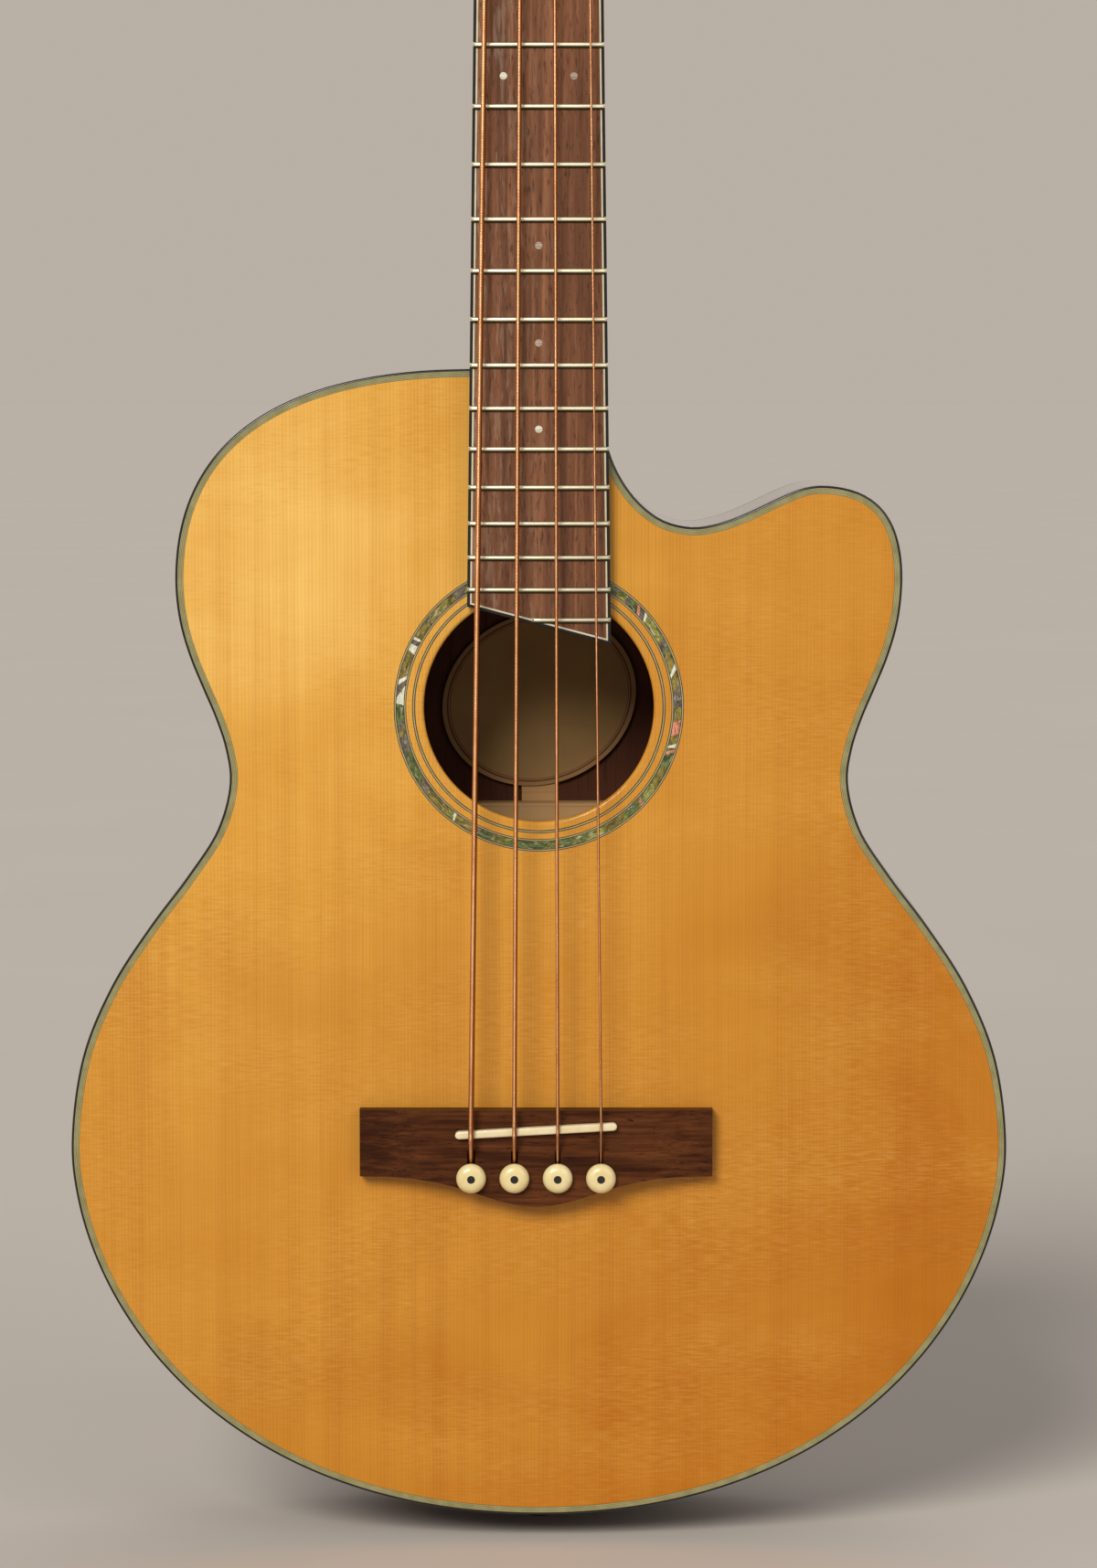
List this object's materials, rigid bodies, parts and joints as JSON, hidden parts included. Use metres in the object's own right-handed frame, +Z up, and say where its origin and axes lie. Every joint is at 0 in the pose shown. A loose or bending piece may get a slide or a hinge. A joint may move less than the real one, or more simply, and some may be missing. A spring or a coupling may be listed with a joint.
{
  "type": "acoustic bass guitar",
  "caption": "Cutaway acoustic bass guitar with slanted fingerboard end, shell rosette, pinned bridge and open worm gear tuners.",
  "frame": {"origin": "middle of the flat outer face of the end button, at the tail of the body", "axes": "+Z up the neck towards the headstock, -Y out of the soundboard, +X to the treble and cutaway side"},
  "size_m": [0.4016, 0.1162, 1.2386],
  "materials": {
    "spruce_top": "amber gloss lacquer over spruce",
    "brace_wood": "bare spruce",
    "mahogany_gloss": "gloss lacquer",
    "neck_mahogany": "satin lacquer",
    "cedar_inside": "bare wood",
    "bridge_rosewood": "oiled",
    "fingerboard_rosewood": "oiled, with nickel frets",
    "maple_plate": "bare wood",
    "black_binding": "gloss, with cream and black lines",
    "shell_inlay": "polished shell",
    "ring_inlay": "black and cream lines",
    "label_paper": "aged paper",
    "black_button": "gloss",
    "bone": "polished",
    "cream_plastic": "polished, with black dots",
    "string_bronze": "wound bronze",
    "rod_steel": "plain steel",
    "tuner_chrome": "polished"
  },
  "bodies": {
    "guitar": {"soundboard": "spruce_top", "rosette": "shell_inlay", "line_ring": "ring_inlay", "back_plate": "mahogany_gloss", "side_bass": "mahogany_gloss", "side_treble": "mahogany_gloss", "binding_top": "black_binding", "binding_back": "black_binding", "neck_block": "cedar_inside", "tail_block": "cedar_inside", "lining_top_bass": "cedar_inside", "lining_top_treble": "cedar_inside", "lining_back_bass": "cedar_inside", "lining_back_treble": "cedar_inside", "x_brace_bass": "brace_wood", "x_brace_treble": "brace_wood", "transverse_brace": "brace_wood", "tone_bar_upper": "brace_wood", "tone_bar_lower": "brace_wood", "bridge_plate": "maple_plate", "back_brace_1": "brace_wood", "back_brace_2": "brace_wood", "back_brace_3": "brace_wood", "back_brace_4": "brace_wood", "back_strip": "brace_wood", "label": "label_paper", "end_button": "black_button", "bridge": "bridge_rosewood", "saddle": "bone", "nut": "bone", "neck": "neck_mahogany", "fingerboard": "fingerboard_rosewood", "fingerboard_binding": "black_binding", "truss_rod": "rod_steel", "headstock_overlay": "bridge_rosewood", "string_e": "string_bronze", "tuner_plate_e": "tuner_chrome", "ferrule_e": "tuner_chrome", "string_a": "string_bronze", "tuner_plate_a": "tuner_chrome", "ferrule_a": "tuner_chrome", "string_d": "string_bronze", "tuner_plate_d": "tuner_chrome", "ferrule_d": "tuner_chrome", "string_g": "string_bronze", "tuner_plate_g": "tuner_chrome", "ferrule_g": "tuner_chrome"},
    "key_e": {"key_worm_e": "tuner_chrome"},
    "post_e": {"gear_post_e": "tuner_chrome"},
    "pin_e": {"bridge_pin_e": "cream_plastic"},
    "key_a": {"key_worm_a": "tuner_chrome"},
    "post_a": {"gear_post_a": "tuner_chrome"},
    "pin_a": {"bridge_pin_a": "cream_plastic"},
    "key_d": {"key_worm_d": "tuner_chrome"},
    "post_d": {"gear_post_d": "tuner_chrome"},
    "pin_d": {"bridge_pin_d": "cream_plastic"},
    "key_g": {"key_worm_g": "tuner_chrome"},
    "post_g": {"gear_post_g": "tuner_chrome"},
    "pin_g": {"bridge_pin_g": "cream_plastic"}
  },
  "joints": [
    {"name": "key_e_turn", "type": "hinge", "parent": "guitar", "child": "key_e", "pos_m": [-0.025, -0.01632, 1.10231], "axis": [-1, 0, 0], "continuous": true},
    {"name": "post_e_turn", "type": "hinge", "parent": "guitar", "child": "post_e", "pos_m": [-0.025, -0.03578, 1.11922], "axis": [0, -0.9781, 0.2079], "continuous": true},
    {"name": "key_a_turn", "type": "hinge", "parent": "guitar", "child": "key_a", "pos_m": [-0.025, -0.00289, 1.16549], "axis": [-1, 0, 0], "continuous": true},
    {"name": "post_a_turn", "type": "hinge", "parent": "guitar", "child": "post_a", "pos_m": [-0.025, -0.02235, 1.18241], "axis": [0, -0.9781, 0.2079], "continuous": true},
    {"name": "key_d_turn", "type": "hinge", "parent": "guitar", "child": "key_d", "pos_m": [0.025, -0.00289, 1.16549], "axis": [1, 0, 0], "continuous": true},
    {"name": "post_d_turn", "type": "hinge", "parent": "guitar", "child": "post_d", "pos_m": [0.025, -0.02235, 1.18241], "axis": [0, -0.9781, 0.2079], "continuous": true},
    {"name": "key_g_turn", "type": "hinge", "parent": "guitar", "child": "key_g", "pos_m": [0.025, -0.01632, 1.10231], "axis": [1, 0, 0], "continuous": true},
    {"name": "post_g_turn", "type": "hinge", "parent": "guitar", "child": "post_g", "pos_m": [0.025, -0.03578, 1.11922], "axis": [0, -0.9781, 0.2079], "continuous": true},
    {"name": "pin_e_pull", "type": "slide", "parent": "guitar", "child": "pin_e", "axis": [0, -1, 0], "range_m": [0, 0.03]},
    {"name": "pin_a_pull", "type": "slide", "parent": "guitar", "child": "pin_a", "axis": [0, -1, 0], "range_m": [0, 0.03]},
    {"name": "pin_d_pull", "type": "slide", "parent": "guitar", "child": "pin_d", "axis": [0, -1, 0], "range_m": [0, 0.03]},
    {"name": "pin_g_pull", "type": "slide", "parent": "guitar", "child": "pin_g", "axis": [0, -1, 0], "range_m": [0, 0.03]}
  ],
  "couplings": [
    {"joint": "post_e_turn", "follows": "key_e_turn", "ratio": -0.05},
    {"joint": "post_a_turn", "follows": "key_a_turn", "ratio": -0.05},
    {"joint": "post_d_turn", "follows": "key_d_turn", "ratio": -0.05},
    {"joint": "post_g_turn", "follows": "key_g_turn", "ratio": -0.05}
  ]
}
